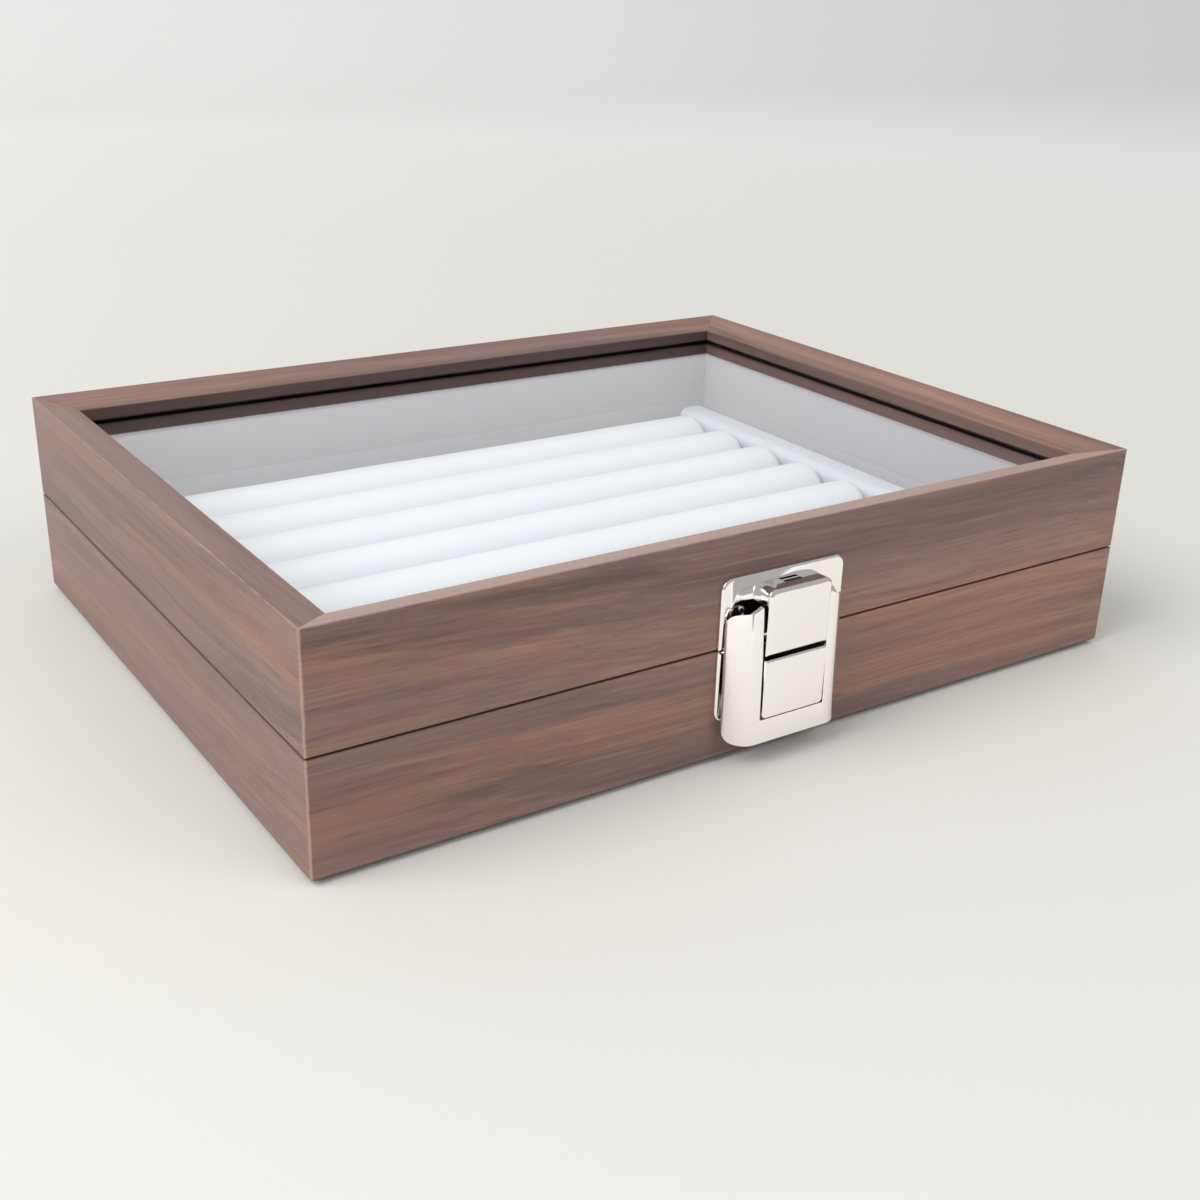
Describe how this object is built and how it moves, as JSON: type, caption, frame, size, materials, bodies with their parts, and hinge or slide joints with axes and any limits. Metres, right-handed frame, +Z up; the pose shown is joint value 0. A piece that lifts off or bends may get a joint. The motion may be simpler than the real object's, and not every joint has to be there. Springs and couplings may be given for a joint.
{
  "type": "ring display case",
  "caption": "Hinged walnut-grain case with a glass lid, a press lever clasp and padded velvet ring rolls inside.",
  "frame": {"origin": "centre of the felt underside, where the closed case rests", "axes": "+X along the long side, to the right seen from the clasp; +Y towards the hinges; +Z up"},
  "size_m": [0.275, 0.2237, 0.066],
  "materials": {
    "walnut": "walnut-grain veneer with a thin satin finish",
    "panel": "plain brown fibreboard",
    "felt": "dark felt",
    "liner_velvet": "short white velvet on board",
    "board": "grey-white card",
    "roll_velvet": "white velvet over foam",
    "screw_steel": "nickel-plated",
    "spring_steel": "drawn wire",
    "glass": "clear float glass",
    "pin_steel": "drawn steel",
    "hinge_nickel": "bright nickel plate",
    "clasp_nickel": "bright nickel plate"
  },
  "bodies": {
    "base": {"base_front_wall": "walnut", "base_back_wall": "walnut", "base_left_wall": "walnut", "base_right_wall": "walnut", "base_panel": "panel", "base_felt": "felt", "base_liner_front": "liner_velvet", "base_liner_back": "liner_velvet", "base_liner_left": "liner_velvet", "base_liner_right": "liner_velvet", "insert_board": "board", "roll_1": "roll_velvet", "roll_2": "roll_velvet", "roll_3": "roll_velvet", "roll_4": "roll_velvet", "roll_5": "roll_velvet", "roll_6": "roll_velvet", "roll_7": "roll_velvet", "roll_8": "roll_velvet", "end_strip_left": "roll_velvet", "end_strip_right": "roll_velvet", "hinge_left_base_leaf": "hinge_nickel", "hinge_right_base_leaf": "hinge_nickel", "hinge_left_pin": "pin_steel", "hinge_right_pin": "pin_steel", "hinge_screws_base": "screw_steel", "latch_base_plate": "clasp_nickel", "pivot_block": "clasp_nickel", "lever_pin": "pin_steel", "latch_screws_base": "screw_steel"},
    "lid": {"lid_front_rail": "walnut", "lid_back_rail": "walnut", "lid_left_rail": "walnut", "lid_right_rail": "walnut", "glass_pane": "glass", "lid_liner_front": "liner_velvet", "lid_liner_back": "liner_velvet", "lid_liner_left": "liner_velvet", "lid_liner_right": "liner_velvet", "hinge_left_lid_leaf": "hinge_nickel", "hinge_right_lid_leaf": "hinge_nickel", "hinge_screws_lid": "screw_steel", "latch_lid_plate": "clasp_nickel", "catch_block": "clasp_nickel", "latch_screws_lid": "screw_steel"},
    "lever": {"lever": "clasp_nickel", "lever_spring": "spring_steel"}
  },
  "joints": [
    {"name": "lid_swing", "type": "hinge", "parent": "base", "child": "lid", "pos_m": [0, 0.1077, 0.0338], "axis": [-1, 0, 0], "range_deg": [0, 180]},
    {"name": "lever_press", "type": "hinge", "parent": "base", "child": "lever", "pos_m": [0, -0.1092, 0.0216], "axis": [1, 0, 0], "range_deg": [0, 6], "stiffness_Nm_per_rad": 0.15, "springref_deg": -11.46}
  ]
}
